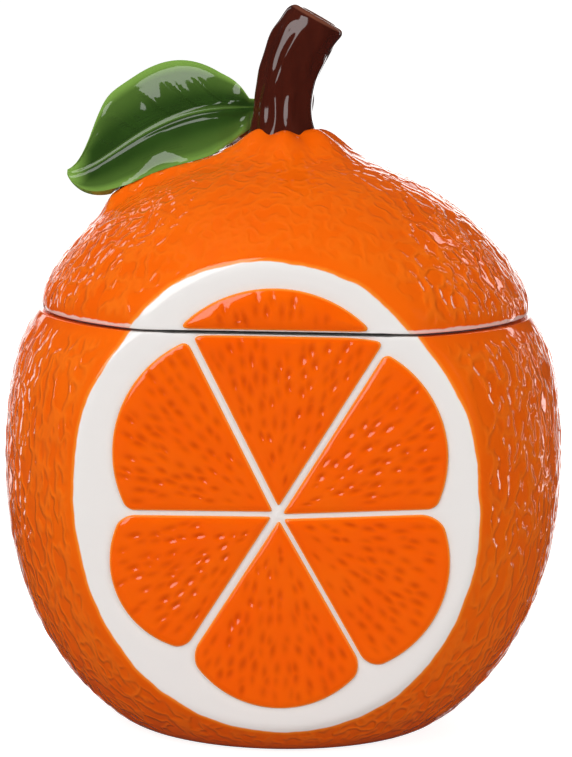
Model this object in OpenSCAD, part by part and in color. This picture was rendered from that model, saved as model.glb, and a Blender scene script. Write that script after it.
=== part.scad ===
// Ceramic storage jar in the form of an orange with a flat slice cut off its front.
// A lift-off lid carries the stem and the leaf, and seats on a silicone ring in the round mouth.
// The foot stands on z = 0, the jar's axis is Z and the slice faces -Y.

/* [Fruit] */
// Widest diameter of the fruit
fruit_d = 165; // [150:1:185]
// Height of the widest level above the foot
belly_z = 80.6; // [74:0.2:86]
// Depth below the widest level at which the lower curve would close
under_h = 92.6; // [90:0.2:104]
// Fullness of the lower curve, where 2 is an ellipse
under_n = 2.23; // [2:0.01:2.5]
// Height of the dome above the widest level
dome_h = 88.5; // [80:0.5:100]
// Fullness of the dome, where 2 is an ellipse
dome_n = 2.2; // [2:0.05:2.5]
// Height of the raised crown round the stem
crown_h = 7.4; // [4:0.2:10]
// Radius at which the crown has fallen to half its height
crown_r = 17.6; // [15:0.2:24]
// Thickness of the cast ceramic wall
wall = 5; // [3.5:0.5:7]

/* [Foot] */
// Diameter of the flat foot
foot_d = 84; // [60:1:90]
// Height at which the rounded foot edge meets the lower curve
foot_rise = 5; // [3:0.5:8]
// Width of the ring that the jar stands on
foot_ring_w = 7; // [4:0.5:12]
// Depth of the hollow inside the foot ring
foot_hollow = 1.5; // [0.5:0.25:3]
// Thickness of the floor above that hollow
floor_t = 6; // [4:0.5:9]

/* [Slice] */
// Distance of the flat slice from the jar's axis, at the height of the star
slice_y = 59; // [54:0.5:62]
// Lean of the slice from the upright, outwards at the top
slice_tilt = 2; // [0:0.25:4]
// Height of the star where the membranes meet
star_z = 71.6; // [66:0.2:76]
// Width of the pulp on the slice
pulp_w = 96.5; // [80:0.5:104]
// Width of the white membrane between two segments
membrane_w = 2; // [1:0.1:3]
// Height of a pulp segment above the slice
pulp_rise = 1.2; // [0.6:0.1:2.5]
// Corner radius of a pulp segment
pulp_corner = 3; // [1:0.5:5]
// Bare strip at the rim and at the lid's edge beside the pulp
pulp_margin = 0.5; // [0.25:0.25:3]

/* [Mouth] */
// Height of the rim
rim_z = 122.9; // [112:0.1:130]
// Diameter of the round mouth
mouth_d = 96; // [84:1:98]
// Thickness of the shelf round the mouth
shelf_t = 6; // [4:0.5:9]
// How far the jar's shoulder draws in at the rim
rim_draw = 2; // [1:0.2:4]
// Height of that shoulder
rim_fall = 15; // [8:0.5:18]
// Radius of the rim's outer edge
rim_r = 1.2; // [0.8:0.1:2]

/* [Lid] */
// How far the lid draws in at its lower edge
lip_draw = 2.4; // [1:0.2:4]
// Height of that drawn-in side
lip_rise = 8; // [6:0.5:12]
// Radius of the lid's lower edge
lip_r = 1; // [0.6:0.1:2]
// Thickness of the lid's ledge
ledge_t = 5; // [4:0.5:8]
// Depth of the plug below the lid
plug_depth = 13; // [11:0.5:18]
// Wall of the plug
plug_wall = 4.5; // [3:0.5:6]

/* [Seal] */
// Thickness of the washer that the lid rests on
seal_t = 0.7; // [0.5:0.1:1.5]
// Width of that washer beyond the mouth
seal_land = 3.5; // [2:0.5:5]
// Thickness of the sleeve round the plug
sleeve_t = 1.2; // [0.8:0.1:2]
// Height of that sleeve
sleeve_h = 9; // [7:0.5:10]
// Number of sealing fins
fin_count = 3; // [2:1:3]
// Thickness of a fin at its root
fin_t = 1.2; // [0.8:0.1:1.5]
// How far a fin stands out from the sleeve
fin_reach = 2.2; // [1.5:0.1:3]

/* [Stem] */
// Diameter of the stem's root
stem_root_d = 21.4; // [16:0.2:22]
// Diameter at the waist
stem_waist_d = 16.6; // [13:0.2:18]
// Diameter at the cut top
stem_top_d = 18.8; // [14:0.2:22]
// Height of the stem's middle line
stem_h = 35.2; // [25:0.2:45]
// Sideways shift of the cut top
stem_shift = 10.2; // [0:0.2:14]
// Lean of the cut top
stem_lean = 29; // [0:1:36]
// Number of flutes round the stem
stem_flutes = 5; // [3:1:8]
// Depth of a flute
flute_depth = 0.7; // [0:0.1:1.2]
// Depth of the stem's seat in the crown
stem_seat = 1; // [0.5:0.1:1.5]
// Shift of the stem's root off the axis, against its lean
stem_offset = 1.5; // [0:0.25:2]

/* [Leaf] */
// Reach of the leaf outwards from the stem
leaf_reach = 55; // [45:1:62]
// Drop of the leaf's tip below its root
leaf_drop = 20.5; // [14:0.5:24]
// Height of the leaf's root above the crown
leaf_lift = 6; // [5:0.5:10]
// Width of the leaf's upper half
leaf_up_w = 23.5; // [14:0.5:26]
// Width of its lower half
leaf_low_w = 17; // [10:0.5:18]
// Slope of the upper half
leaf_up_tilt = 52; // [35:1:70]
// Slope of the lower half
leaf_low_tilt = 60; // [50:1:80]
// Swell of each half
leaf_swell = 1.6; // [0:0.2:3]
// Thickness of the leaf
leaf_t = 4; // [3:0.25:6]
// Half width of the leaf's stalk at the stem
stalk_w = 2.2; // [1.4:0.2:4]
// Diameter of the stub that joins the leaf to the lid
stub_d = 9; // [6:0.5:11]
// Distance of the stub from the jar's axis
stub_reach = 48; // [42:0.5:52]
// Turn of the stub behind the leaf's middle
stub_turn = 3; // [0:0.5:6]
// Depth of the stub's seat in the lid
stub_seat = 1.2; // [0.8:0.1:2]

/* [Clearances] */
// Gap between pieces that move on each other
run_gap = 0.3; // [0.15:0.05:0.4]
// Gap round a piece that is set in a seat
set_gap = 0.2; // [0.1:0.05:0.4]

/* [Hidden] */

fruit_r = fruit_d / 2;
foot_r = foot_d / 2;
mouth_r = mouth_d / 2;
floor_z = foot_hollow + floor_t;
lid_z = rim_z + seal_t;

// The seal fills the space between the plug and the mouth
fin_r = mouth_r - run_gap;
sleeve_r = fin_r - fin_reach;
seal_bore_r = sleeve_r - sleeve_t;
plug_r = seal_bore_r - run_gap;
seal_land_r = mouth_r + seal_land;

// Membranes, anticlockwise from the right one, drawn by hand so that no two are alike:
// direction, then shift to the left and width as shares of membrane_w
membranes = [
    [3, -0.32, 0.7], [58.7, -0.2, 1], [117, -0.3, 1],
    [180.4, -0.05, 0.7], [238.2, 0.2, 1.15], [299.9, 0.3, 0.6]
];
// Round outer edge of the segment after each membrane: centre from the star and radius, as shares of pulp_w
segment_edges = [
    [0.152, 0.174, 0.346], [0.004, -0.528, 1.086], [-0.12, 0.178, 0.36],
    [-0.217, -0.143, 0.269], [0.013, -0.282, 0.301], [0.172, -0.138, 0.338]
];
// The same for the segment's cap on the lid
cap_edge = [-0.009, 0.282, 0.384];

// Shares of the leaf's length: where its upper half is full, and over how much it draws in to the tip
leaf_up_shares = [0.65, 0.238];
// The same for the lower half: where it is full, and where it starts to taper
leaf_low_shares = [0.33, 0.4];

curve_steps = 28;
arc_steps = 6;
bond = 1;
far = 2 * fruit_d;
$fn = 96;

// Outline of the fruit

// Radius of the fruit at height z, with its surface moved inwards by inset
function form_r(z, inset = 0) =
    let (n = z < belly_z ? under_n : dome_n)
    let (h = (z < belly_z ? under_h : dome_h) - inset)
    (fruit_r - inset) * pow(max(0, 1 - pow(abs(z - belly_z) / h, n)), 1 / n);

// Change of that radius for each millimetre of height
function form_flare(z) = form_r(z + 0.5) - form_r(z - 0.5);

// Height of the dome at radius r, with its surface moved inwards by inset
function dome_z(r, inset = 0) =
    belly_z + (dome_h - inset) * pow(max(0, 1 - pow(r / (fruit_r - inset), dome_n)), 1 / dome_n);

// Height of the lid's skin at radius r: the dome and the crown that swells out of it
function skin_z(r) = dome_z(r) + crown_h / (1 + pow(r / crown_r, 6));

// Radius of the jar at height z: the fruit, drawn in to the rim
function jar_r(z) = form_r(z) - rim_draw * pow(max(0, z - rim_z + rim_fall) / rim_fall, 2);

// Radius of the lid's side at height z: the fruit, drawn in to its lower edge
function lid_r(z) = form_r(z) - lip_draw * pow(max(0, lid_z + lip_rise - z) / lip_rise, 2);

// Heights strictly between two, evenly spaced
function between(z0, z1, steps) = [for (i = [1 : steps - 1]) z0 + (z1 - z0) * i / steps];

function arc(c, r, a0, a1) =
    [for (i = [0 : arc_steps]) let (a = a0 + (a1 - a0) * i / arc_steps) c + r * [cos(a), sin(a)]];

// Rounded edge that leaves the flat foot level and meets the lower curve in line with it
function foot_edge() =
    let (start = [foot_r, 0])
    let (end = [form_r(foot_rise), foot_rise])
    let (turn = [max(foot_r, end.x - foot_rise * form_flare(foot_rise)), 0])
    [for (i = [0 : arc_steps]) let (t = i / arc_steps)
        (1 - t) * (1 - t) * start + 2 * t * (1 - t) * turn + t * t * end];

function jar_outline() =
    let (slope = atan(jar_r(rim_z - 1) - jar_r(rim_z)))
    let (rim_start = rim_z - rim_r * (1 - sin(slope)))
    let (rim_c = [jar_r(rim_start) - rim_r * cos(slope), rim_z - rim_r])
    let (ring_r = foot_r - foot_ring_w)
    concat(
        [[0, foot_hollow], [ring_r - foot_hollow, foot_hollow], [ring_r, 0]],
        foot_edge(),
        [for (z = between(foot_rise, belly_z, curve_steps)) [form_r(z), z]],
        [[fruit_r, belly_z]],
        [for (z = between(belly_z, rim_start, curve_steps)) [jar_r(z), z]],
        arc(rim_c, rim_r, slope, 90),
        [[0, rim_z]]
    );

function jar_hollow() =
    let (top_z = rim_z - shelf_t)
    concat(
        [[0, floor_z], [form_r(floor_z, wall), floor_z]],
        [for (z = between(floor_z, top_z, curve_steps)) [form_r(z, wall), z]],
        [[form_r(top_z, wall), top_z], [0, top_z]]
    );

// The lid's side, and its skin up to the crown, spaced evenly in the dome's own angle
function lid_outline() =
    let (side_top = lid_z + lip_rise)
    concat(
        [[0, lid_z]],
        arc([lid_r(lid_z + lip_r) - lip_r, lid_z + lip_r], lip_r, -90, 0),
        [for (z = between(lid_z + lip_r, side_top, arc_steps)) [lid_r(z), z]],
        [for (i = [0 : curve_steps - 1])
            let (r = form_r(side_top) * cos(90 * i / curve_steps)) [r, skin_z(r)]],
        [[0, skin_z(0)]]
    );

function lid_hollow() =
    let (base_z = lid_z + ledge_t)
    let (base_r = form_r(base_z, wall))
    concat(
        [[0, base_z], [base_r, base_z]],
        [for (i = [1 : curve_steps - 1])
            let (r = base_r * cos(90 * i / curve_steps)) [r, dome_z(r, wall)]],
        [[0, dome_z(0, wall)]]
    );

// Lofted solids

function total(list, i = 0) = i < len(list) ? list[i] + total(list, i + 1) : 0;
function middle_of(ring) = [for (k = [0 : 2]) total([for (p = ring) p[k]]) / len(ring)];

// One closed solid through rings that all have the same number of points
module loft(rings) {
    n = len(rings[0]);
    last = len(rings) - 1;
    low = n * (last + 1);
    points = concat(
        [for (ring = rings) each ring],
        [middle_of(rings[0]), middle_of(rings[last])]
    );
    faces = concat(
        [for (i = [0 : last - 1]) for (j = [0 : n - 1]) each [
            [i * n + j, (i + 1) * n + j, i * n + (j + 1) % n],
            [i * n + (j + 1) % n, (i + 1) * n + j, (i + 1) * n + (j + 1) % n]
        ]],
        [for (j = [0 : n - 1]) [low, j, (j + 1) % n]],
        [for (j = [0 : n - 1]) [low + 1, last * n + (j + 1) % n, last * n + j]]
    );
    polyhedron(points, faces);
}

// Slice and pulp

// Stands on the slice at the height of the star, with -Y straight out of it
module on_slice() {
    translate([0, -slice_y, star_z]) rotate([slice_tilt, 0, 0]) children();
}

// Keeps what lies behind the slice, moved back by inset
module behind_slice(inset = 0) {
    intersection() {
        children();
        on_slice() translate([-far / 2, inset, -far]) cube([far, far, 2 * far]);
    }
}

// Half of the drawing plane to the left of a line near the star
module left_of(direction, shift) {
    rotate(direction) translate([-far, shift]) square([2 * far, far]);
}

module rounded(corner) {
    offset(r = corner, $fn = 32) offset(delta = -corner) children();
}

// Outline of the segment after membrane i, drawn round the star and cut off at the rim
module segment_outline(i) {
    from = membranes[i];
    to = membranes[(i + 1) % len(membranes)];
    edge = pulp_w * segment_edges[i];
    rounded(pulp_corner) intersection() {
        left_of(from[0], membrane_w * (from[1] + from[2] / 2));
        left_of(to[0] + 180, membrane_w * (to[2] / 2 - to[1]));
        translate([edge.x, edge.y]) circle(r = edge.z);
        left_of(180, star_z + pulp_margin - rim_z);
    }
}

// Outline of the part of a segment that goes on over the lid
module cap_outline() {
    edge = pulp_w * cap_edge;
    rounded(pulp_corner / 3) intersection() {
        translate([edge.x, edge.y]) circle(r = edge.z);
        left_of(0, lid_z + pulp_margin - star_z);
    }
}

// Raises an outline on the slice as pulp
module pulp() {
    on_slice() translate([0, bond, 0]) rotate([90, 0, 0]) linear_extrude(bond + pulp_rise) children();
}

// Jar

module jar_body() {
    color("darkorange") difference() {
        union() {
            behind_slice() rotate_extrude() polygon(jar_outline());
            for (i = [0 : len(membranes) - 1]) pulp() segment_outline(i);
        }
        behind_slice(wall) rotate_extrude() polygon(jar_hollow());
        translate([0, 0, rim_z - shelf_t - bond]) cylinder(r = mouth_r, h = shelf_t + 2 * bond);
    }
}

// Lid

module lid_shell() {
    color("darkorange") difference() {
        union() {
            difference() {
                union() {
                    behind_slice() rotate_extrude() polygon(lid_outline());
                    pulp() cap_outline();
                }
                behind_slice(wall) rotate_extrude() polygon(lid_hollow());
            }
            lid_plug();
        }
        translate([0, 0, lid_z - plug_depth - bond])
            cylinder(r = plug_r - plug_wall, h = plug_depth + ledge_t + 2 * bond);
        translate([-stem_offset, 0, stem_seat_z()]) cylinder(d = stem_root_d + 2 * set_gap, h = far);
        at_stub_seat() cylinder(d = stub_d + 2 * set_gap, h = far);
    }
}

// Plug below the ledge, with a groove that holds the seal above a bead
module lid_plug() {
    groove_h = sleeve_h + run_gap;
    translate([0, 0, lid_z - plug_depth]) {
        cylinder(r = plug_r, h = plug_depth + bond);
        cylinder(r = sleeve_r, h = plug_depth - groove_h);
    }
}

// Stem

function stem_seat_z() = skin_z(stem_root_d / 2 + stem_offset + set_gap) - stem_seat;

// Middle line of the stem at share t of its height, upright at the root and leaning towards +X
function stem_point(t) = [stem_shift * pow(t, 3) - stem_offset, 0, stem_seat_z() + stem_h * t];

// Radius of the stem at share t: root flare, waist and wider top
function stem_radius(t) =
    stem_waist_d / 2
    + (stem_root_d - stem_waist_d) / 2 * pow(1 - t, 10)
    + (stem_top_d - stem_waist_d) / 2 * pow(t, 1.5);

// Section across the stem at share t, drawn in by inset and fluted above the root
function stem_ring(t, inset, sides) =
    let (lean = stem_lean * pow(t, 1.4))
    [for (j = [0 : sides - 1])
        let (a = -360 * j / sides)
        let (flute = flute_depth * min(1, 4 * t) * (1 - cos(stem_flutes * a)) / 2)
        let (r = stem_radius(t) - inset - flute)
        stem_point(t) + r * [cos(a) * cos(lean), sin(a), -cos(a) * sin(lean)]];

module stem_handle() {
    sides = 40;
    steps = 12;
    edge = 1.5;
    color("saddlebrown") loft(concat(
        [for (i = [0 : steps]) stem_ring(i / steps * (1 - edge / stem_h), 0, sides)],
        [stem_ring(1 - edge / stem_h / 3, edge / 3, sides), stem_ring(1, edge, sides)]
    ));
}

// Leaf

// Width of the leaf's upper half at share u from root to tip, as a share of its greatest width
function leaf_up_shape(u) =
    let (full = leaf_up_shares[0])
    let (fall = leaf_up_shares[1])
    pow(sin(90 * min(1, u / full)), 0.75) / (1 + pow(max(0, u - full) / fall, 7));

// The same for the lower half, which is wide near the root and tapers evenly
function leaf_low_shape(u) =
    let (full = leaf_low_shares[0])
    let (taper = leaf_low_shares[1])
    pow(sin(90 * min(1, u / full)), 0.7) * pow(1 - pow(max(0, u - taper) / (1 - taper), 2.3), 0.8);

// Middle rib of the leaf at share u
function leaf_rib(u) = [
    -stem_offset - stem_waist_d / 2 - run_gap - leaf_reach * u,
    0,
    skin_z(0) + leaf_lift - leaf_drop * sin(90 * pow(u, 2.5))
];

// Point of the leaf's face at share u, and at share v from -1 at the lower edge to 1 at the upper one
function leaf_face(u, v) =
    let (shape = v > 0 ? leaf_up_shape(u) : leaf_low_shape(u))
    let (tilt = v > 0 ? leaf_up_tilt : leaf_low_tilt)
    let (w = v * max(stalk_w * (1 - u), (v > 0 ? leaf_up_w : leaf_low_w) * shape))
    let (swell = leaf_swell * shape * (1 - pow(2 * abs(v) - 1, 2)))
    leaf_rib(u) + w * [0, cos(tilt), sin(tilt)] + swell * [0, -sin(tilt), cos(tilt)];

// Lifts a point of the leaf clear of the lid's skin
function above_skin(p) = [p.x, p.y, max(p.z, skin_z(norm([p.x, p.y])) + run_gap)];

// Section across the leaf: its face from the lower to the upper edge, and its back the other way
function leaf_ring(u, across) =
    let (tilt = (leaf_up_tilt + leaf_low_tilt) / 2)
    let (t = leaf_t * min(1, leaf_low_shape(u) + 0.5))
    let (back = 0.94)
    concat(
        [for (j = [0 : across]) above_skin(leaf_face(u, 2 * j / across - 1))],
        [for (j = [across : -1 : 0])
            let (v = 2 * j / across - 1)
            let (depth = t * sqrt(1 - 0.6 * v * v))
            above_skin(leaf_face(u, v * back) + depth * [0, sin(tilt), -cos(tilt)])]
    );

// Stands at the stub's seat, with Z along the lid's normal there
module at_stub_seat() {
    slope = atan((skin_z(stub_reach - 1) - skin_z(stub_reach + 1)) / 2);
    rotate([0, 0, -stub_turn]) translate([-stub_reach, 0, skin_z(stub_reach)])
        rotate([0, -slope, 0]) translate([0, 0, -stub_seat]) children();
}

// Length of the stub from its seat to inside the leaf
function stub_h() =
    let (u = (stub_reach - stem_offset - stem_waist_d / 2 - run_gap) / leaf_reach)
    stub_seat + max(leaf_t / 2, leaf_rib(u).z - skin_z(stub_reach) - leaf_t);

module leaf() {
    across = 10;
    steps = 24;
    tip = 0.985;
    color("forestgreen") union() {
        loft([for (i = [0 : steps]) leaf_ring(tip * i / steps, across)]);
        at_stub_seat() cylinder(d = stub_d, h = stub_h());
    }
}

// Seal

module seal_ring() {
    pitch = (sleeve_h - seal_t - fin_t) / fin_count;
    color("gainsboro") rotate_extrude() polygon(concat(
        [[seal_bore_r, lid_z - sleeve_h], [sleeve_r, lid_z - sleeve_h]],
        [for (i = [fin_count : -1 : 1]) let (z = rim_z - pitch * (i - 0.5) - fin_t / 2) each [
            [sleeve_r, z - fin_t / 2],
            [fin_r, z],
            [fin_r, z + fin_t / 4],
            [sleeve_r, z + fin_t / 2]
        ]],
        [[sleeve_r, rim_z], [seal_land_r, rim_z], [seal_land_r, lid_z], [seal_bore_r, lid_z]]
    ));
}

jar_body();
lid_shell();
stem_handle();
leaf();
seal_ring();
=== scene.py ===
import bpy, bmesh, random
import numpy as np
from math import atan, atan2, cos, exp, hypot, pi, radians, sin, sqrt, tan
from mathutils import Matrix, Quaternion, Vector, noise


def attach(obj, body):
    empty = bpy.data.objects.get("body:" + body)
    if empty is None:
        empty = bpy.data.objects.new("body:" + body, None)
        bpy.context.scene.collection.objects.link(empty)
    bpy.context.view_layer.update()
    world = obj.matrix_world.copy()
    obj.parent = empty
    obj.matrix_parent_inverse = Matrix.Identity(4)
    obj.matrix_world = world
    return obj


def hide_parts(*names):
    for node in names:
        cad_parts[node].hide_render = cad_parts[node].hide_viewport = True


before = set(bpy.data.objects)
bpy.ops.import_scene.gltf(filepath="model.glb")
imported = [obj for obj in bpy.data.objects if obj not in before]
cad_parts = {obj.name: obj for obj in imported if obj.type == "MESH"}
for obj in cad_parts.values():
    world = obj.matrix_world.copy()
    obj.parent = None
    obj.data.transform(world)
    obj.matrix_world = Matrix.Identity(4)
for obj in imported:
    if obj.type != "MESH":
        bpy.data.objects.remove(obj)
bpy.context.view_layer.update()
print("frame loaded:", ", ".join(sorted(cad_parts)))

# All shapes are worked out in millimetres in the row's frame, and scaled to metres when a piece is finished
fruit = {
    "radius": 82.5, "bellyZ": 80.6, "underH": 92.6, "underN": 2.23, "domeH": 88.5, "domeN": 2.2,
    "crownH": 7.4, "crownR": 17.6, "wall": 5, "rimZ": 122.9, "lidZ": 123.6,
    "lumpW": 3.4, "lumpH": 4.4,  # size of the peel's lumps
}
flatCut = {"depth": 59, "tilt": 2, "starZ": 71.6, "frontEdge": 0.5, "innerRound": 1.5, "paintReach": 12}


def formR(z, inset=0):
    low = z < fruit["bellyZ"]
    h, n = (fruit["underH"], fruit["underN"]) if low else (fruit["domeH"], fruit["domeN"])
    return (fruit["radius"] - inset) * max(0, 1 - (abs(z - fruit["bellyZ"]) / (h - inset)) ** n) ** (1 / n)


def domeZ(r, inset=0):
    n = fruit["domeN"]
    share = max(0, 1 - (r / (fruit["radius"] - inset)) ** n)
    return fruit["bellyZ"] + (fruit["domeH"] - inset) * share ** (1 / n)


def skinZ(r):
    return domeZ(r) + fruit["crownH"] / (1 + (r / fruit["crownR"]) ** 6)


# the flat slice leans out a little at the top
def cutY(z):
    return -flatCut["depth"] - (z - flatCut["starZ"]) * tan(radians(flatCut["tilt"]))


# 0 at low, 1 at high, smooth between
def ease(low, high, value):
    t = min(1, max(0, (value - low) / (high - low)))
    return t * t * (3 - 2 * t)


# The same line with its points about a gap apart
def evenly(points, gap):
    line = np.array(points, float)
    run = np.concatenate([[0], np.cumsum(np.linalg.norm(np.diff(line, axis=0), axis=1))])
    at = np.linspace(0, run[-1], max(1, round(run[-1] / gap)) + 1)
    return list(zip(np.interp(at, run, line[:, 0]), np.interp(at, run, line[:, 1])))


def arc(cx, cz, radius, start, end, steps=8):
    turns = np.linspace(start, end, steps + 1)
    return [(cx + radius * cos(a), cz + radius * sin(a)) for a in turns]


def linear(hexColour):
    channels = [int(hexColour[i:i + 2], 16) / 255 for i in (1, 3, 5)]
    return [c / 12.92 if c <= 0.04045 else ((c + 0.055) / 1.055) ** 2.4 for c in channels] + [1]


def addNode(tree, kind, inputs=None, **settings):
    node = tree.nodes.new(kind)
    for name, value in settings.items():
        setattr(node, name, value)
    for name, value in (inputs or {}).items():
        if isinstance(value, bpy.types.NodeSocket):
            tree.links.new(value, node.inputs[name])
        else:
            node.inputs[name].default_value = value
    return node


def newMaterial(name, **inputs):
    material = bpy.data.materials.new(name)
    material.use_nodes = True
    tree = material.node_tree
    tree.nodes.clear()
    shader = addNode(tree, "ShaderNodeBsdfPrincipled", inputs)
    addNode(tree, "ShaderNodeOutputMaterial", {"Surface": shader.outputs[0]})
    return material, tree, shader


# Pulp on the slice, measured from the star where the membranes meet.
# A membrane has a direction, a shift to its left and a width.
# The segment after it has a round outer edge with a centre and a radius, a corner radius,
# and a point inside it.
pulp = {
    "membranes": [
        (3, -0.64, 1.4), (58.7, -0.4, 2), (117, -0.6, 2),
        (180.4, -0.1, 1.4), (238.2, 0.4, 2.3), (299.9, 0.6, 1.2),
    ],
    "edges": [
        (14.7, 16.8, 33.4, 2), (0.4, -51, 104.8, 2), (-11.6, 17.2, 34.7, 2),
        (-20.9, -13.8, 26, 3.2), (1.3, -27.2, 29, 3.9), (16.6, -13.3, 32.6, 4.8),
    ],
    "middles": [(25, 17), (1, 32), (-25, 17), (-25, -15), (0, -31), (26, -16)],
    "capEdge": (-0.9, 27.2, 37.1, 2), "capMiddle": (-1, 57),
    "tip": 0.8, "topCorner": 1.6, "margin": 0.5, "groove": 0.24, "grooveW": 1.8,
    "rise": 0.9, "shoulder": 2.4, "capRise": 1.5, "capShoulder": 4, "swell": 0.5, "sway": 0.22,
    "count": 340, "loops": 84, "hem": 1.5, "rimW": 0.7, "seed": 11, "capSeed": 31,
}


# The lesser of two depths, rounded where both are small
def fillet(a, b, radius):
    inner = radius - np.hypot(np.maximum(radius - a, 0), np.maximum(radius - b, 0))
    return np.where((a < radius) & (b < radius), inner, np.minimum(a, b))


# Distance to the left of a membrane's middle line
def leftOf(membrane, x, s):
    turn = radians(membrane[0])
    return s * cos(turn) - x * sin(turn) - membrane[1]


# Depth of a point inside jar segment i, negative outside it
def segmentDepth(i, x, s):
    first, second = pulp["membranes"][i], pulp["membranes"][(i + 1) % 6]
    cx, cs, radius, corner = pulp["edges"][i]
    wedge = fillet(leftOf(first, x, s) - first[2] / 2, -leftOf(second, x, s) - second[2] / 2, pulp["tip"])
    whole = fillet(wedge, radius - np.hypot(x - cx, s - cs), corner)
    return fillet(whole, fruit["rimZ"] - flatCut["starZ"] - pulp["margin"] - s, pulp["topCorner"])


def capDepth(x, s):
    cx, cs, radius, corner = pulp["capEdge"]
    base = s - (fruit["lidZ"] - flatCut["starZ"] + pulp["margin"])
    return fillet(radius - np.hypot(x - cx, s - cs), base, corner)


def jarPulpDepth(x, s):
    return np.max([segmentDepth(i, x, s) for i in range(6)], axis=0)


# Orange glaze, sprayed over white earthenware: deep and wet, with the peel's ridges soft under it
orangeGlaze, tree, shader = newMaterial("orange glaze over white earthenware", Roughness=0.07, IOR=1.5)
spot = addNode(tree, "ShaderNodeTexCoord").outputs["Object"]
cloud = addNode(tree, "ShaderNodeTexNoise", {"Vector": spot, "Scale": 1 / 0.022, "Detail": 3})
skin = addNode(tree, "ShaderNodeMix", {
    0: cloud.outputs[0], 6: linear("#f65a05"), 7: linear("#ff720a"),
}, data_type="RGBA")  # thicker in some places than in others
peel = addNode(tree, "ShaderNodeAttribute", attribute_name="peel")
# winding ridges of the peel, about 5 mm apart and longer up and down, along the middle level of a noise
ridges = addNode(tree, "ShaderNodeMapping", {"Vector": spot, "Scale": (1000 / 5, 1000 / 5, 1000 / 8)})
ridges = addNode(tree, "ShaderNodeTexNoise", {"Vector": ridges.outputs[0], "Scale": 1, "Detail": 1})
ridges = addNode(tree, "ShaderNodeMath", {0: ridges.outputs[0], 1: 0.5}, operation="SUBTRACT")
ridges = addNode(tree, "ShaderNodeMath", {0: ridges.outputs[0]}, operation="ABSOLUTE")
ridges = addNode(tree, "ShaderNodeMapRange", {
    "Value": ridges.outputs[0], "From Min": 0.14, "From Max": 0,
}, interpolation_type="SMOOTHSTEP")
# how much lighter colour each ridge gets: partly thin glaze, partly a painted highlight
thinGlazeAndSheen = addNode(tree, "ShaderNodeMath", {0: ridges.outputs[0], 1: peel.outputs["Fac"]}, operation="MULTIPLY")
thinGlazeAndSheen = addNode(tree, "ShaderNodeMapRange", {"Value": thinGlazeAndSheen.outputs[0], "To Max": 0.28})
# lighter over the ridges of the peel: partly glaze running thin there, partly a painted highlight along the
# ridges
skin = addNode(tree, "ShaderNodeMix", {
    0: thinGlazeAndSheen.outputs[0], 6: skin.outputs[2], 7: linear("#ff8a24"),
}, data_type="RGBA")
white = addNode(tree, "ShaderNodeAttribute", attribute_name="white")
wobble = addNode(tree, "ShaderNodeTexNoise", {"Vector": spot, "Scale": 1 / 0.009, "Detail": 2})
wobble = addNode(tree, "ShaderNodeMapRange", {"Value": wobble.outputs[0], "To Min": -0.7, "To Max": 0.7})
edge = addNode(tree, "ShaderNodeMath", {0: white.outputs["Fac"], 1: wobble.outputs[0]}, operation="ADD")
# the brush leaves a thin yellow film along the white
halo = addNode(tree, "ShaderNodeMapRange", {
    "Value": edge.outputs[0], "From Min": -1.1, "From Max": -0.1, "To Max": 0.75,
})
skin = addNode(tree, "ShaderNodeMix", {
    0: halo.outputs[0], 6: skin.outputs[2], 7: linear("#ff9a2e"),
}, data_type="RGBA")
pith = addNode(tree, "ShaderNodeMapRange", {"Value": edge.outputs[0], "From Min": -0.12, "From Max": 0.16})
inner = addNode(tree, "ShaderNodeAttribute", attribute_name="inside")
pith = addNode(tree, "ShaderNodeMath", {0: pith.outputs[0], 1: inner.outputs["Fac"]}, operation="MAXIMUM")
# a ragged line of bare white shows where the lid's lower edge was wiped
wiped = addNode(tree, "ShaderNodeAttribute", attribute_name="wiped")
ragged = addNode(tree, "ShaderNodeTexNoise", {"Vector": spot, "Scale": 1 / 0.005, "Detail": 3})
wiped = addNode(tree, "ShaderNodeMath", {0: wiped.outputs["Fac"], 1: ragged.outputs[0]}, operation="ADD")
wiped = addNode(tree, "ShaderNodeMapRange", {
    "Value": wiped.outputs[0], "From Min": 1, "From Max": 1.2, "To Max": 0.6,
})
pith = addNode(tree, "ShaderNodeMath", {0: pith.outputs[0], 1: wiped.outputs[0]}, operation="MAXIMUM")
skin = addNode(tree, "ShaderNodeMix", {
    0: pith.outputs[0], 6: skin.outputs[2], 7: linear("#f3efec"),
}, data_type="RGBA")
tree.links.new(skin.outputs[2], shader.inputs["Base Color"])
relief = addNode(tree, "ShaderNodeBump", {
    "Height": ridges.outputs[0], "Strength": peel.outputs["Fac"], "Distance": 0.0004,
})
tree.links.new(relief.outputs[0], shader.inputs["Normal"])

# Pulp glaze: the same orange, laid on by brush
pulpGlaze, tree, shader = newMaterial("orange pulp glaze", Roughness=0.1, IOR=1.5)
spot = addNode(tree, "ShaderNodeTexCoord").outputs["Object"]
cloud = addNode(tree, "ShaderNodeTexNoise", {"Vector": spot, "Scale": 1 / 0.016, "Detail": 3})
flesh = addNode(tree, "ShaderNodeMix", {
    0: cloud.outputs[0], 6: linear("#ff5800"), 7: linear("#ff6c04"),
}, data_type="RGBA")
pit = addNode(tree, "ShaderNodeAttribute", attribute_name="pit")
sunk = addNode(tree, "ShaderNodeMapRange", {"Value": pit.outputs["Fac"], "To Max": 0.75})
# colour gathers in the pits of the pulp and breaks thin and yellow over its edges
flesh = addNode(tree, "ShaderNodeMix", {
    0: sunk.outputs[0], 6: flesh.outputs[2], 7: linear("#d84600"),
}, data_type="RGBA")
rim = addNode(tree, "ShaderNodeAttribute", attribute_name="rim")
flesh = addNode(tree, "ShaderNodeMix", {
    0: rim.outputs["Fac"], 6: flesh.outputs[2], 7: linear("#ff9a30"),
}, data_type="RGBA")
tree.links.new(flesh.outputs[2], shader.inputs["Base Color"])

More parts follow.
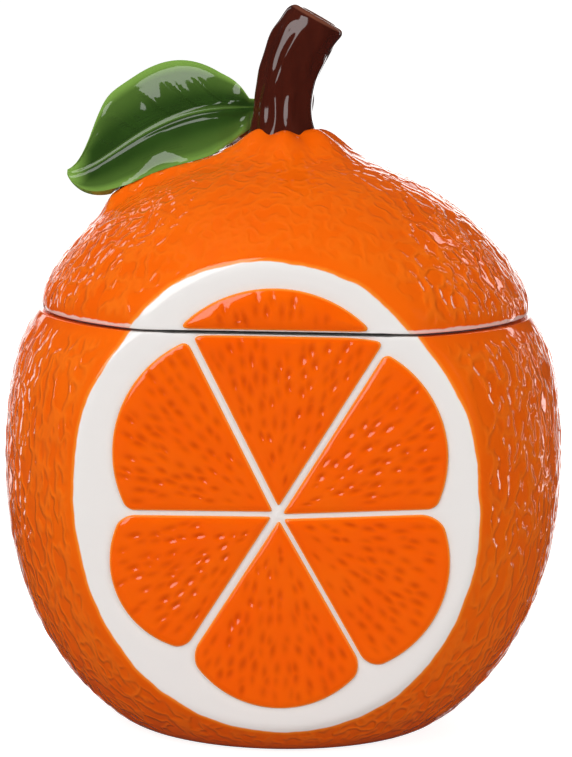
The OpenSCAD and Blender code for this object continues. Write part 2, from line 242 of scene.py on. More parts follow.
# Brown glaze, dark and glassy, thin over ridges
brownGlaze, tree, shader = newMaterial("dark brown glaze", Roughness=0.07, IOR=1.54)
spot = addNode(tree, "ShaderNodeTexCoord").outputs["Object"]
grain = addNode(tree, "ShaderNodeMapping", {"Vector": spot, "Scale": (1000 / 4, 1000 / 4, 1000 / 16)})
grain = addNode(tree, "ShaderNodeTexNoise", {"Vector": grain.outputs[0], "Scale": 1, "Detail": 3})
bark = addNode(tree, "ShaderNodeMix", {
    0: grain.outputs[0], 6: linear("#33100a"), 7: linear("#522014"),
}, data_type="RGBA")
wornAndSheen = addNode(tree, "ShaderNodeAttribute", attribute_name="wornAndSheen")
# lighter brown over the cut face and its edge: partly the glaze breaking thin over the edge, partly a
# painted highlight
bark = addNode(tree, "ShaderNodeMix", {
    0: wornAndSheen.outputs["Fac"], 6: bark.outputs[2], 7: linear("#86503c"),
}, data_type="RGBA")
tree.links.new(bark.outputs[2], shader.inputs["Base Color"])

# Green glaze, transparent, pooled dark in the blade and light over its margins, with a painted highlight as
# a lighter band along the rib
greenGlaze, tree, shader = newMaterial("green leaf glaze", Roughness=0.06, IOR=1.52)
spot = addNode(tree, "ShaderNodeTexCoord").outputs["Object"]
cloud = addNode(tree, "ShaderNodeTexNoise", {"Vector": spot, "Scale": 1 / 0.012, "Detail": 3})
blade = addNode(tree, "ShaderNodeMix", {
    0: cloud.outputs[0], 6: linear("#1f3510"), 7: linear("#304f1a"),
}, data_type="RGBA")
margin = addNode(tree, "ShaderNodeAttribute", attribute_name="margin")
blade = addNode(tree, "ShaderNodeMix", {
    0: margin.outputs["Fac"], 6: blade.outputs[2], 7: linear("#7fa64a"),
}, data_type="RGBA")
tree.links.new(blade.outputs[2], shader.inputs["Base Color"])

# Silicone rubber, moulded, with a faint bloom
silicone, tree, shader = newMaterial("grey silicone rubber", Roughness=0.45, IOR=1.41)
spot = addNode(tree, "ShaderNodeTexCoord").outputs["Object"]
bloom = addNode(tree, "ShaderNodeTexNoise", {"Vector": spot, "Scale": 1 / 0.006, "Detail": 2})
rubber = addNode(tree, "ShaderNodeMix", {
    0: bloom.outputs[0], 6: linear("#9aa29a"), 7: linear("#b0b7b0"),
}, data_type="RGBA")
tree.links.new(rubber.outputs[2], shader.inputs["Base Color"])
print("materials made")


def finishPiece(name, bm, body, material, slotName, *nodes):
    bmesh.ops.scale(bm, vec=(0.001,) * 3, verts=bm.verts)
    mesh = bpy.data.meshes.new(name)
    bm.to_mesh(mesh)
    bm.free()
    mesh.shade_smooth()
    mesh.set_sharp_from_angle(angle=radians(50))  # only true corners stay sharp
    mesh.materials.append(material)
    piece = bpy.data.objects.new(name, mesh)
    bpy.context.scene.collection.objects.link(piece)
    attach(piece, body)
    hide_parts(*nodes)
    print(name, "made:", sum(len(p.vertices) - 2 for p in mesh.polygons), "triangles")


# A profile in runs of (radius, height), turned round the axis; each run says if it is white inside
def turnedShell(runs, steps):
    bm = bmesh.new()
    inside = bm.verts.layers.float.new("inside")
    verts = []
    for points, value in runs:
        for r, z in points:
            if verts and hypot(verts[-1].co.x - r, verts[-1].co.z - z) < 0.02:
                continue
            verts.append(bm.verts.new((r, 0, z)))
            verts[-1][inside] = value
    edges = [bm.edges.new(pair) for pair in zip(verts, verts[1:])]
    bmesh.ops.spin(
        bm, geom=verts + edges, cent=(0, 0, 0), axis=(0, 0, 1), angle=2 * pi, steps=steps, use_merge=True)
    bmesh.ops.remove_doubles(bm, verts=bm.verts, dist=0.002)
    bmesh.ops.recalc_face_normals(bm, faces=bm.faces)
    return bm


# Keeps a distance from going under 0, rounded over k
def softLimit(t, k):
    return t if t > k else 0 if t < -k else (t + k) ** 2 / (4 * k)


# Painted edge of the white: how far a point of the front lies inside it
ringLine = {
    "lean": 0.029, "midZ": 75.6, "over": -0.25, "lowOver": 1, "lowFrom": 40, "lowTo": 8,
    "dip": 2.1, "dipZ": 119.6, "dipH": 14,
}


def whiteEdge(x, z, shift):
    off = x + ringLine["lean"] * (z - ringLine["midZ"]) + shift
    over = ringLine["over"] + ringLine["lowOver"] * ease(ringLine["lowFrom"], ringLine["lowTo"], z)
    over -= ringLine["dip"] * exp(-((z - ringLine["dipZ"]) / ringLine["dipH"]) ** 2)
    return sqrt(max(0, formR(z) ** 2 - off ** 2)) + cutY(z) + over


# Peel on the skin, then the slice: the front is pressed flat with a soft edge, outside and inside the wall
def pressFront(bm, shell, peelAt, hollowAt):
    inside = bm.verts.layers.float["inside"]
    peel = bm.verts.layers.float.new("peel")
    white = bm.verts.layers.float.new("white")
    wiped = bm.verts.layers.float.new("wiped")
    bm.normal_update()
    for v in bm.verts:
        x, y, z = v.co
        front = cutY(z)
        v[white] = -5  # well outside the painted edge
        if v[inside] > 0.5:
            front += fruit["wall"] * hollowAt(z)
            v.co.y = front + softLimit(y - front, flatCut["innerRound"])
            continue
        v[peel] = peelAt(x, y, z) * ease(0.5, 4, y - front)
        lump = noise.noise(Vector((x / fruit["lumpW"], y / fruit["lumpW"], z / fruit["lumpH"])))
        v.co += v.normal * lump * v[peel] * shell["peel"]
        v[wiped] = shell["wiped"] * ease(1.5, 0.4, z - shell["edgeZ"])
        if y < front + flatCut["paintReach"]:
            v[white] = whiteEdge(x, z, shell["shift"])
        near = min(1, max(0, 1 - abs(z - shell["edgeZ"]) / flatCut["frontEdge"]))
        front += flatCut["frontEdge"] * (1 - sqrt(1 - near ** 2))
        v.co.y = front + softLimit(v.co.y - front, shell["round"])


# A soft groove in the pith round each segment, on a finer grid there
def grooveFront(bm, depthAt):
    inside = bm.verts.layers.float["inside"]
    faces = [f for f in bm.faces if f.normal.y < -0.95 and all(v[inside] < 0.5 for v in f.verts)]
    spots = np.array([f.calc_center_median() for f in faces])
    gaps = -depthAt(spots[:, 0], spots[:, 2] - flatCut["starZ"])
    near = {e for f, gap in zip(faces, gaps) if -1 < gap < 2.8 for e in f.edges}
    bmesh.ops.subdivide_edges(bm, edges=list(near), cuts=2, use_grid_fill=True)
    bm.normal_update()
    verts = [v for v in bm.verts if v.normal.y < -0.9 and v[inside] < 0.5]
    spots = np.array([v.co for v in verts])
    gaps = -depthAt(spots[:, 0], spots[:, 2] - flatCut["starZ"])
    for v, gap in zip(verts, gaps):
        v.co.y += pulp["groove"] * ease(pulp["grooveW"], 0.2, gap)


jar = {
    "steps": 360, "gap": 1.45, "footR": 42, "footRise": 5, "ringW": 7, "footHollow": 1.5, "floorZ": 7.5,
    "shelfT": 6, "mouthR": 48, "mouthEdge": 1, "rimR": 0.8, "rimW": 2.5, "draw": 2, "fall": 15, "corner": 4,
    "peel": 0.3, "round": 1.6, "edgeZ": fruit["rimZ"], "shift": 0, "wiped": 0,
}


# the shoulder draws in to the rim
def jarR(z):
    return formR(z) - jar["draw"] * (max(0, z - fruit["rimZ"] + jar["fall"]) / jar["fall"]) ** 2


rimSlope = atan(jarR(fruit["rimZ"] - 1) - jarR(fruit["rimZ"]))
startZ = fruit["rimZ"] - jar["rimR"] * (1 - sin(rimSlope))
rimX = jarR(startZ) - jar["rimR"] * cos(rimSlope)
shelfZ = fruit["rimZ"] - jar["shelfT"]
ringR = jar["footR"] - jar["ringW"]
footEnd = formR(jar["footRise"])
footTurn = max(jar["footR"], footEnd - jar["footRise"] * (formR(5.5) - formR(4.5)))
footCurve = [
    ((1 - t) ** 2 * jar["footR"] + 2 * t * (1 - t) * footTurn + t * t * footEnd, t * t * jar["footRise"])
    for t in np.linspace(0, 1, 30)
]
mouthX = jar["mouthR"] + jar["mouthEdge"]
cornerZ = jar["floorZ"] + jar["corner"]
cornerR = formR(cornerZ, fruit["wall"])
jarShell = turnedShell([
    ([(0, jar["footHollow"]), (ringR - 3, jar["footHollow"])], 1),
    ([(ringR - jar["footHollow"], jar["footHollow"] - 0.2), (ringR, 0.2), (ringR + 0.5, 0)], 1),
    ([(jar["footR"] - 1, 0)], 1),
    (evenly(footCurve, jar["gap"]), 0),
    (evenly([(jarR(z), z) for z in np.linspace(jar["footRise"], startZ, 600)], jar["gap"]), 0),
    (arc(rimX, fruit["rimZ"] - jar["rimR"], jar["rimR"], rimSlope, pi / 2, 6), 0),
    ([(rimX - jar["rimW"], fruit["rimZ"])], 0),  # the orange ends with a crisp edge on the rim
    ([(rimX - jar["rimW"] - 0.5, fruit["rimZ"]), (jar["mouthR"] + 4, fruit["rimZ"])], 1),
    (arc(mouthX, fruit["rimZ"] - jar["mouthEdge"], jar["mouthEdge"], pi / 2, pi, 5), 1),
    (arc(mouthX, shelfZ + jar["mouthEdge"], jar["mouthEdge"], pi, 1.5 * pi, 5), 1),
    ([(formR(shelfZ, fruit["wall"]) - 3, shelfZ)], 1),
    (evenly([(formR(z, fruit["wall"]), z) for z in np.linspace(shelfZ - 2.5, cornerZ, 300)], 4), 1),
    ([(cornerR - 6, jar["floorZ"] + 0.6), (cornerR - 10, jar["floorZ"]), (0, jar["floorZ"])], 1),
], jar["steps"])
pressFront(
    jarShell, jar,
    lambda x, y, z: ease(1, 6, fruit["rimZ"] - z) * ease(1, 7, z),
    lambda z: z < fruit["rimZ"] - 3)
grooveFront(jarShell, jarPulpDepth)
finishPiece("jarShell", jarShell, "jar", orangeGlaze, "orange_glaze", "jar_body")

lid = {
    "steps": 360, "gap": 1.45, "lipR": 0.6, "lipW": 2.5, "draw": 2.4, "rise": 8, "ledgeT": 5,
    "plugR": 44, "plugBore": 39.5, "plugEdge": 1.5, "plugFillet": 2, "beadR": 45.5, "beadEdge": 0.8,
    "plugZ": 110.6, "grooveZ": 114.3, "landR": 52, "landGap": 0.05, "frontPeel": 0.45,
    "lobes": 0.9, "folds": [(7, -1.37, 1), (4, 2.2, 0.4)],  # count, start, share of the height
    "peel": 0.3, "round": 2.2, "edgeZ": fruit["lidZ"], "shift": 1.3, "wiped": 1,
}


# the lid's side draws in to its lower edge
def lidR(z):
    return formR(z) - lid["draw"] * (max(0, fruit["lidZ"] + lid["rise"] - z) / lid["rise"]) ** 2


bank = {
    "start": Vector((-22, -9)), "end": Vector((-47.5, -4.5)),
    "low": 1.2, "high": 3.8, "wide": 8, "flat": 3.5,
}


# the skin banks up to the leaf along its lower edge, most at the leaf's far end
def bankRise(x, y):
    run = bank["end"] - bank["start"]
    off = Vector((x, y)) - bank["start"]
    t = min(1, max(0, off.dot(run) / run.dot(run)))
    crest = bank["low"] + (bank["high"] - bank["low"]) * t
    return crest * ease(bank["wide"], bank["flat"], (off - run * t).length)


ledgeZ = fruit["lidZ"] + lid["ledgeT"]
lipZ = fruit["lidZ"] + lid["lipR"]
lipX = lidR(lipZ) - lid["lipR"]
landZ = fruit["lidZ"] + lid["landGap"]  # just clear of the seal's top
sideZ = fruit["lidZ"] + lid["rise"]
beadEdge = lid["beadEdge"]
plugEdge = lid["plugEdge"]
plugFillet = lid["plugFillet"]
lidShell = turnedShell([
    (evenly([(r, skinZ(r)) for r in formR(sideZ) * np.sin(np.linspace(0, pi / 2, 600))], lid["gap"]), 0),
    (evenly([(lidR(z), z) for z in np.linspace(sideZ, lipZ, 60)], lid["gap"]), 0),
    (arc(lipX, lipZ, lid["lipR"], 0, -pi / 2, 6), 0),
    ([(lipX - lid["lipW"], fruit["lidZ"])], 0),
    ([(lipX - lid["lipW"] - 0.5, fruit["lidZ"]), (lid["landR"] + 4, fruit["lidZ"])], 1),
    ([(lid["landR"], landZ), (lid["plugR"], landZ), (lid["plugR"], lid["grooveZ"])], 1),
    (arc(lid["beadR"] - beadEdge, lid["grooveZ"] - beadEdge, beadEdge, pi / 2, 0, 4), 1),
    (arc(lid["beadR"] - plugEdge, lid["plugZ"] + plugEdge, plugEdge, 0, -pi / 2, 5), 1),
    (arc(lid["plugBore"] + plugEdge, lid["plugZ"] + plugEdge, plugEdge, -pi / 2, -pi, 5), 1),
    (arc(lid["plugBore"] + plugFillet, ledgeZ - plugFillet, plugFillet, pi, pi / 2, 5), 1),
    ([(formR(ledgeZ, fruit["wall"]) - 3, ledgeZ)], 1),
    (evenly([
        (r, domeZ(r, fruit["wall"]))
        for r in formR(ledgeZ + 2, fruit["wall"]) * np.cos(np.linspace(0, pi / 2, 300))
    ], 4), 1),
], lid["steps"])


# the peel is flatter over the middle of the front
def lidPeel(x, y, z):
    most = max(ease(10, 50, abs(x)), ease(-30, 20, y), lid["frontPeel"])
    return most * ease(1, 5, z - fruit["lidZ"]) * ease(13, 20, hypot(x, y))


lining = lidShell.verts.layers.float["inside"]
for v in lidShell.verts:  # soft folds run down from the stem
    if v[lining] < 0.5:
        r = hypot(v.co.x, v.co.y)
        turn = atan2(v.co.y, v.co.x)
        fold = sum(share * cos(count * turn + start) for count, start, share in lid["folds"])
        v.co.z += lid["lobes"] * fold * ease(7, 11, r) * ease(27, 13, r)
        v.co.z += bankRise(v.co.x, v.co.y)
pressFront(lidShell, lid, lidPeel, lambda z: z > ledgeZ - 1)
grooveFront(lidShell, capDepth)
finishPiece("lidShell", lidShell, "lid", orangeGlaze, "orange_glaze", "lid_shell")


# Numbers the points of a new circle by their turn, so that rows made from it keep the order
def startCircle(bm, count):
    verts = bmesh.ops.create_circle(bm, cap_ends=False, segments=count, radius=1)["verts"]
    order = bm.verts.layers.int["order"]
    for v in verts:
        v[order] = int(round(atan2(v.co.y, v.co.x) / (2 * pi) * count)) % count
    return verts, list({e for v in verts for e in v.link_edges})


def nextRow(bm, edges):
    grown = bmesh.ops.extrude_edge_only(bm, edges=edges)["geom"]
    verts = [part for part in grown if isinstance(part, bmesh.types.BMVert)]
    return verts, [part for part in grown if isinstance(part, bmesh.types.BMEdge)]


pitRows = {
    "first": 9, "last": 80, "rows": 4.4, "apart": 3.3, "clear": 2.2, "deep": 0.45,
    "long": (1.5, 2.3), "wide": (0.75, 1), "share": (0.4, 1), "small": 0.75, "smallAt": 12, "fullAt": 36,
}


# Long pits in rows round the star, each pointing at it and smaller near it
def scatterPits(depthAt, seed):
    pick = random.Random(seed)
    pits = []
    for ring in np.arange(pitRows["first"], pitRows["last"], pitRows["rows"]):
        for step in range(int(2 * pi * ring / pitRows["apart"])):
            turn = (step + pick.uniform(-0.3, 0.3) + ring) * pitRows["apart"] / ring
            at = ring + pick.uniform(-1.5, 1.5)
            x, s = at * cos(turn), at * sin(turn)
            if float(depthAt(np.array([x]), np.array([s]))[0]) > pitRows["clear"]:
                grown = ease(pitRows["smallAt"], pitRows["fullAt"], at)
                grown = pitRows["small"] + (1 - pitRows["small"]) * grown
                length = grown * pick.uniform(*pitRows["long"])
                width = grown * pick.uniform(*pitRows["wide"])
                share = pick.uniform(*pitRows["share"])
                pits.append((x, s, turn + pick.uniform(-0.15, 0.15), length, width, share))
    return np.array(pits).reshape(-1, 6)


# One raised piece of pulp: loops fitted to its outline, swollen by the depth inside it
# and pitted along the rays
def addSegment(bm, depthAt, middle, seed, rise, shoulder):
    count, loops = pulp["count"], pulp["loops"]
    turns = np.arange(count) * 2 * pi / count
    low = np.zeros(count)
    high = np.full(count, 90.0)
    for _ in range(40):
        mid = (low + high) / 2
        within = depthAt(middle[0] + mid * np.cos(turns), middle[1] + mid * np.sin(turns)) > 0
        low = np.where(within, mid, low)
        high = np.where(within, high, mid)
    pits = scatterPits(depthAt, seed)

    start, outline = startCircle(bm, count)
    rows = [(1.0, 0, start)]
    edges = outline
    for k in range(1, loops + 1):
        verts, edges = nextRow(bm, edges)
        rows.append((max(0.004, 1 - (k / loops) ** 1.25), 0, verts))
    hem, edges = nextRow(bm, outline)
    rows.append((1.0, pulp["hem"], hem))
    bmesh.ops.contextual_create(bm, geom=edges)

    order = bm.verts.layers.int["order"]
    pitLayer = bm.verts.layers.float["pit"]
    rimLayer = bm.verts.layers.float["rim"]
    for share, drop, verts in rows:
        at = np.array([v[order] for v in verts])
        x = middle[0] + share * low[at] * np.cos(turns[at])
        s = middle[1] + share * low[at] * np.sin(turns[at])
        depth = np.maximum(0, depthAt(x, s))
        lift = rise * np.sqrt(1 - (1 - np.minimum(1, depth / shoulder)) ** 2)
        lift += pulp["swell"] * (1 - np.exp(-depth / 8))
        dx = x[:, None] - pits[:, 0]
        ds = s[:, None] - pits[:, 1]
        along = dx * np.cos(pits[:, 2]) + ds * np.sin(pits[:, 2])
        across = ds * np.cos(pits[:, 2]) - dx * np.sin(pits[:, 2])
        sunk = pits[:, 5] * np.exp(-(along / pits[:, 3]) ** 2 - (across / pits[:, 4]) ** 2)
        sunk = sunk.max(axis=1, initial=0)
        for n, v in enumerate(verts):
            sway = pulp["sway"] * noise.noise(Vector((x[n] / 7, s[n] / 7, seed)))
            sway *= min(1, float(depth[n]) / 4)
            out = float(lift[n]) - pitRows["deep"] * float(sunk[n]) + sway - drop
            z = flatCut["starZ"] + float(s[n])
            v.co = (float(x[n]), cutY(z) - out, z)
            v[pitLayer] = float(sunk[n])
            v[rimLayer] = float(np.clip(1 - depth[n] / pulp["rimW"], 0, 1))
    top = rows[loops][2]
    bmesh.ops.pointmerge(bm, verts=top, merge_co=sum((v.co for v in top), Vector()) / len(top))


def pulpMesh(*segment):
    bm = bmesh.new()
    bm.verts.layers.int.new("order")
    bm.verts.layers.float.new("pit")
    bm.verts.layers.float.new("rim")
    addSegment(bm, *segment)
    bmesh.ops.recalc_face_normals(bm, faces=bm.faces)
    return bm


for i, middle in enumerate(pulp["middles"]):
    bm = pulpMesh(
        lambda x, s, i=i: segmentDepth(i, x, s), middle, pulp["seed"] + i, pulp["rise"], pulp["shoulder"])
    finishPiece("jarPulp" + str(i + 1), bm, "jar", pulpGlaze, "orange_glaze", "jar_body")
bm = pulpMesh(capDepth, pulp["capMiddle"], pulp["capSeed"], pulp["capRise"], pulp["capShoulder"])
finishPiece("lidPulp", bm, "lid", pulpGlaze, "orange_glaze", "lid_shell")


# Closed skin through rings of points
def loftRings(bm, rings):
    order = bm.verts.layers.int["order"]
    made, edges = startCircle(bm, len(rings[0]))
    ends = [edges]
    rows = [made]
    for _ in rings[1:]:
        verts, edges = nextRow(bm, edges)
        rows.append(verts)
    ends.append(edges)
    for ring, verts in zip(rings, rows):
        for v in verts:
            v.co = ring[v[order]]
    for edges in ends:
        bmesh.ops.contextual_create(bm, geom=edges)
    return rows


stem = {
    "rootD": 21.4, "waistD": 16.6, "topD": 18.8, "height": 35.2, "shift": 10.2, "lean": 29, "offset": 1.5,
    "sides": 160, "rings": 80, "edge": 2.2, "dish": 1, "sink": 2.2, "valley": 0.25, "root": 0.6, "sway": 7,
    "wornAndSheen": 0.7,
    # soft ridges: turn round the stem from the right, height, half width, where they start and end
    "ridges": [
        (-130, 0.7, 11, 0, 0.95), (-103, 0.75, 9, 0.02, 0.9), (-74, 0.65, 9, 0, 0.45),
        (-58, 0.5, 12, 0.45, 1), (-165, 0.6, 13, 0, 0.9), (-25, 0.6, 13, 0, 0.8),
        (15, 0.6, 13, 0.1, 0.95), (55, 0.6, 13, 0, 0.9), (95, 0.6, 13, 0, 0.9), (140, 0.6, 14, 0, 0.95),
    ],
}
stemFoot = skinZ(stem["rootD"] / 2 + stem["offset"] + 0.2) - 1


def stemRing(t, squeeze=0, rise=0):
    lean = radians(stem["lean"]) * t ** 1.4
    middle = Vector((stem["shift"] * t ** 3 - stem["offset"], 0, stemFoot + stem["height"] * t))
    radius = stem["waistD"] / 2 - squeeze - stem["valley"]
    flare = (stem["rootD"] - stem["waistD"]) / 2 * (1 - t) ** 10
    radius += flare + (stem["topD"] - stem["waistD"]) / 2 * t ** 1.5
    side = Vector((cos(lean), 0, -sin(lean)))
    up = Vector((sin(lean), 0, cos(lean)))
    ring = []
    for j in range(stem["sides"]):
        a = 2 * pi * j / stem["sides"]
        swell = 0
        for turn, height, half, first, last in stem["ridges"]:
            sway = stem["sway"] * noise.noise(Vector((turn, 4 * t, 0.5)))
            off = (a * 180 / pi - turn - sway + 180) % 360 - 180
            height *= 1 + 0.6 * noise.noise(Vector((turn, 6 * t, 7.5)))
            within = ease(first - 0.02, first + 0.12, t) * ease(last, last - 0.12, t)
            swell += height * exp(-(off / half) ** 2) * within
        root = stem["root"] * cos(7 * a + 1) * (1 - t) ** 12
        r = max(0.2, radius + (root + swell) * min(1, radius / 6))
        ring.append(middle + side * (r * cos(a)) + Vector((0, 1, 0)) * (r * sin(a)) + up * rise)
    return ring


bm = bmesh.new()
bm.verts.layers.int.new("order")
wornAndSheen = bm.verts.layers.float.new("wornAndSheen")
shoulder = stem["edge"] / stem["height"]
stemRings = [stemRing(0, 0, -stem["sink"])]
stemRings += [stemRing(t) for t in np.linspace(0, 1 - shoulder, stem["rings"])]
for a in np.linspace(0, pi / 2, 9)[1:]:
    stemRings.append(stemRing(1 - shoulder * (1 - sin(a)), stem["edge"] * (1 - cos(a))))
for share in np.linspace(0, 0.97, 14)[1:]:
    squeeze = stem["edge"] + share * (stem["topD"] / 2 - stem["edge"])
    stemRings.append(stemRing(1, squeeze, -stem["dish"] * ease(0, 0.5, share)))
# the cut face and its edge get the lighter brown, partly a painted highlight
for k, verts in enumerate(loftRings(bm, stemRings)):
    for v in verts:
        v[wornAndSheen] = stem["wornAndSheen"] if k > stem["rings"] + 3 else 0  # on the cut face and its edge
bmesh.ops.recalc_face_normals(bm, faces=bm.faces)
finishPiece("stem", bm, "lid", brownGlaze, "brown_glaze", "stem_handle")

leaf = {
    "reach": 55, "drop": 20.5, "lift": 6, "upW": 23.5, "lowW": 17, "upTilt": 52, "lowTilt": 60,
    "root": 10.1, "start": -0.022, "thick": 4, "stalk": 3, "gap": 0.1,
    "across": 110, "under": 24, "rings": 210,
    # where each half is at its widest, and where it starts to narrow to the tip
    "upFull": 0.65, "lowFull": 0.33, "lowEnd": 0.4,
    "cup": 1.8, "cupV": 0.38, "bead": 0.5, "roll": 0.6, "rollW": 0.12, "dish": 0.3, "fold": 0.12,
    "press": 0.55,
    "rib": 0.9, "ribW": 2.8, "ribGroove": 1, "grooveW": 1, "twist": 0.2,
    "vein": 0.55, "veinW": 1.1, "pillow": 0.2, "veins": [0.12, 0.27, 0.42, 0.6],
}


def leafWidth(u, upper):
    if upper:
        rise = sin(pi / 2 * min(1, u / leaf["upFull"])) ** 0.75
        return rise / (1 + (max(0, u - leaf["upFull"]) / 0.238) ** 7)
    rise = sin(pi / 2 * min(1, u / leaf["lowFull"])) ** 0.7
    return rise * max(0, 1 - (max(0, u - leaf["lowEnd"]) / (1 - leaf["lowEnd"])) ** 2.3) ** 0.8


# Height of the leaf's face: a cupped upper half with veins, a lower half with a rolled edge,
# and a grooved rib
def leafRelief(u, v, w, share):
    if v > 0:
        hollow = ease(0, leaf["cupV"], v) * ease(0.95, leaf["cupV"], v)
        height = -leaf["cup"] * share * hollow * ease(0.15, 0.35, u) * ease(0.7, 0.5, u)
        height += leaf["bead"] * exp(-((v - 0.9) / 0.09) ** 2) * ease(0.1, 0.4, u)
        for root in leaf["veins"]:
            off = (u - root - 0.3 * v ** 1.2) * leaf["reach"]
            cut = leaf["vein"] * exp(-(off / leaf["veinW"]) ** 2)
            puff = leaf["pillow"] * sin(pi / 4 * min(8, max(0, off)))
            height += (puff - cut) * ease(0.06, 0.2, v) * ease(0.8, 0.5, v)
    else:
        crest = 0.9 - 0.3 * exp(-((u - 0.5) / 0.12) ** 2)  # the roll winds inwards halfway
        height = leaf["roll"] * exp(-((v + crest) / leaf["rollW"]) ** 2) - leaf["fold"] * w
        height -= leaf["dish"] * share * sin(pi * min(1, -v / crest))
    ribW = leaf["ribW"] * (1 - 0.6 * u)
    height += leaf["rib"] * exp(-(w / ribW) ** 4) - leaf["ribGroove"] * exp(-(w / leaf["grooveW"]) ** 2)
    height += leaf["twist"] * w * ease(0.2, 0.06, u)
    return height * ease(0, 0.08, u) * ease(1, 0.93, u)


def leafPoint(u, v, back):
    rib = Vector((
        -leaf["root"] - leaf["reach"] * u, 0,
        skinZ(0) + leaf["lift"] - leaf["drop"] * sin(pi / 2 * max(0, u) ** 2.5)))
    upper = v > 0
    tilt = radians(leaf["upTilt"] if upper else leaf["lowTilt"])
    share = leafWidth(max(0, u), upper)
    w = v * max(leaf["stalk"] * (1 - u), leaf["upW" if upper else "lowW"] * share)
    point = rib + Vector((0, cos(tilt), sin(tilt))) * w
    if back:
        middle = radians((leaf["upTilt"] + leaf["lowTilt"]) / 2)
        depth = leaf["thick"] * sqrt(max(0, 1 - v ** 4)) * min(1, 0.35 + 3 * max(0, min(u, 1 - u)))
        point += Vector((0, sin(middle), -cos(middle))) * depth
    else:
        point += Vector((0, -sin(tilt), cos(tilt))) * leafRelief(u, v, w, share)
    under = skinZ(hypot(point.x, point.y)) + bankRise(point.x, point.y) + leaf["gap"]
    # the lower edge is pressed onto the lid
    pressed = (max(0, -v - leaf["press"]) / (1 - leaf["press"])) ** 2 * ease(0.7, 0.58, u)
    point.z = max(under, point.z + (under - point.z) * pressed)
    return point


bm = bmesh.new()
order = bm.verts.layers.int.new("order")
margin = bm.verts.layers.float.new("margin")
across = [(v, 0) for v in np.linspace(-1, 1, leaf["across"])]
across += [(v, 1) for v in np.sin(np.linspace(pi / 2, -pi / 2, leaf["under"] + 2))[1:-1]]
steps = 0.5 - 0.5 * np.cos(np.linspace(0.06, pi - 0.05, leaf["rings"]))  # closer at both ends
lengthwise = leaf["start"] + (1 - leaf["start"]) * steps
leafRings = [[leafPoint(u, v, back) for v, back in across] for u in lengthwise]
for u, verts in zip(lengthwise, loftRings(bm, leafRings)):
    for v in verts:
        side = across[v[order]][0]
        rim = max(ease(0.7, 0.98, side), 0.8 * ease(-0.62, -0.98, side), 0.9 * ease(0.86, 0.98, u))
        # the margins and tip are lighter where the glaze runs thin; the lighter band along the rib is a
        # painted highlight
        v[margin] = max(rim, 0.25 * ease(0.3, 0.8, abs(side)), 0.3 * ease(0.08, 0, abs(side)))
# the stub that holds the leaf off the lid
stub = {"reach": 47, "turn": 3, "radius": 3.6, "height": 9, "sink": 1, "sides": 48}
stubX = -stub["reach"] * cos(radians(stub["turn"]))
stubY = stub["reach"] * sin(radians(stub["turn"]))
stubZ = skinZ(stub["reach"]) - stub["sink"]
turns = np.arange(stub["sides"]) * 2 * pi / stub["sides"]
stubFoot = Vector((stubX, stubY, stubZ))
stubRing = [stubFoot + stub["radius"] * Vector((cos(a), sin(a), 0)) for a in turns]
loftRings(bm, [stubRing, [point + Vector((0, 0, stub["height"])) for point in stubRing]])
bmesh.ops.recalc_face_normals(bm, faces=bm.faces)
finishPiece("leafBlade", bm, "lid", greenGlaze, "green_glaze", "leaf")

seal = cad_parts["seal_ring"]
seal.data.materials.clear()
seal.data.materials.append(silicone)
print("seal ring kept from the frame")

# Floor: white paper, bright for the camera and still with the jar's shadow on it
bm = bmesh.new()
bmesh.ops.create_grid(bm, x_segments=1, y_segments=1, size=9)
mesh = bpy.data.meshes.new("floor")
bm.to_mesh(mesh)
bm.free()
floor = bpy.data.objects.new("floor", mesh)
bpy.context.scene.collection.objects.link(floor)
paper, tree, shader = newMaterial("white studio paper", **{
    "Base Color": (0.6, 0.6, 0.6, 1), "Roughness": 0.9, "Specular IOR Level": 0,
    "Emission Color": (1, 1, 1, 1),
})
path = addNode(tree, "ShaderNodeLightPath")
spot = addNode(tree, "ShaderNodeTexCoord").outputs["Object"]
reach = addNode(tree, "ShaderNodeVectorMath", {0: spot}, operation="LENGTH")
glow = addNode(tree, "ShaderNodeMapRange", {
    "Value": reach.outputs["Value"], "From Min": 0.15, "From Max": 0.6, "To Min": 0.86, "To Max": 1,
})
glow = addNode(tree, "ShaderNodeMath", {
    0: glow.outputs[0], 1: path.outputs["Is Camera Ray"],
}, operation="MULTIPLY")
tree.links.new(glow.outputs[0], shader.inputs["Emission Strength"])
mesh.materials.append(paper)
floor.visible_glossy = False  # the glaze mirrors the lamps alone

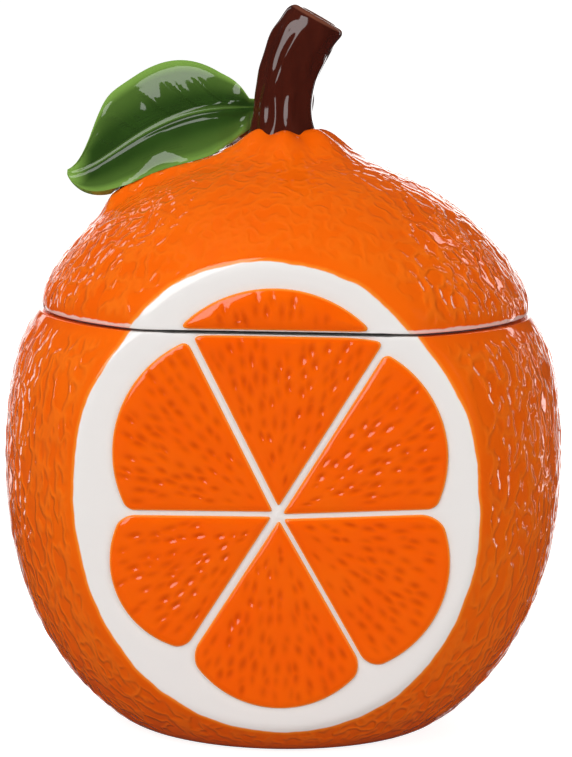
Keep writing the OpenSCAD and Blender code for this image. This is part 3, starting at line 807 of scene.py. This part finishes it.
# Room: a white wall far behind the jar, dark towards the camera
world = bpy.data.worlds.new("studio room")
bpy.context.scene.world = world
world.use_nodes = True
tree = world.node_tree
tree.nodes.clear()
away = addNode(tree, "ShaderNodeTexCoord").outputs["Generated"]
away = addNode(tree, "ShaderNodeSeparateXYZ", {"Vector": away})
wall = addNode(tree, "ShaderNodeMapRange", {
    "Value": away.outputs["Y"], "From Min": 0.93, "From Max": 0.98, "To Min": 0.03, "To Max": 2.4,
})
path = addNode(tree, "ShaderNodeLightPath")
seen = addNode(tree, "ShaderNodeMapRange", {
    "Value": path.outputs["Is Camera Ray"], "To Min": wall.outputs[0], "To Max": 1,
})
back = addNode(tree, "ShaderNodeBackground", {"Color": (1, 1, 1, 1), "Strength": seen.outputs[0]})
addNode(tree, "ShaderNodeOutputWorld", {"Surface": back.outputs[0]})

# the key lamp and the two strips at the sides show in the glaze, the fill lamps don't
lamps = {
    "key softbox": {"at": (-0.55, -0.95, 0.72), "size": (0.6, 1.2), "power": 8.7, "shows": True},
    "right strip": {"at": (0.78, 0.74, 0.4), "size": (0.07, 1.2), "power": 0.9, "shows": True},
    "left strip": {"at": (-0.6, 0.95, 0.35), "size": (0.1, 1.1), "power": 0.6, "shows": True},
    "left fill": {"at": (-0.95, -0.55, 0.6), "size": (0.6, 1), "power": 2.7, "shows": False},
    "right fill": {"at": (0.95, -0.7, 0.3), "size": (0.5, 1), "power": 7.2, "shows": False},
    "top fill": {"at": (-0.4, -0.1, 1.25), "size": (0.8, 0.6), "power": 4.8, "shows": False},
    "back fill": {"at": (0.35, 1, 0.6), "size": (0.9, 0.9), "power": 4.5, "shows": False},
}
for name, lamp in lamps.items():
    data = bpy.data.lights.new(name, "AREA")
    data.shape = "RECTANGLE"
    data.size, data.size_y = lamp["size"]
    data.energy = lamp["power"]
    light = bpy.data.objects.new(name, data)
    light.location = lamp["at"]
    light.visible_glossy = lamp["shows"]
    light.rotation_euler = (Vector((0, 0, 0.1)) - light.location).to_track_quat("-Z", "Y").to_euler()
    bpy.context.scene.collection.objects.link(light)

view = {"at": (0.03196, -1.0169, 0.2442), "aim": (0.00045, 0, 0.1021), "lens": 164.45, "roll": 0.8}
camera = bpy.data.objects.new("camera", bpy.data.cameras.new("camera"))
camera.data.lens = view["lens"]
camera.location = view["at"]
aim = (Vector(view["aim"]) - camera.location).to_track_quat("-Z", "Y")
camera.rotation_euler = (aim @ Quaternion((0, 0, 1), radians(view["roll"]))).to_euler()
bpy.context.scene.collection.objects.link(camera)
bpy.context.scene.camera = camera
bpy.context.scene.view_settings.view_transform = "Standard"
print("stage set")
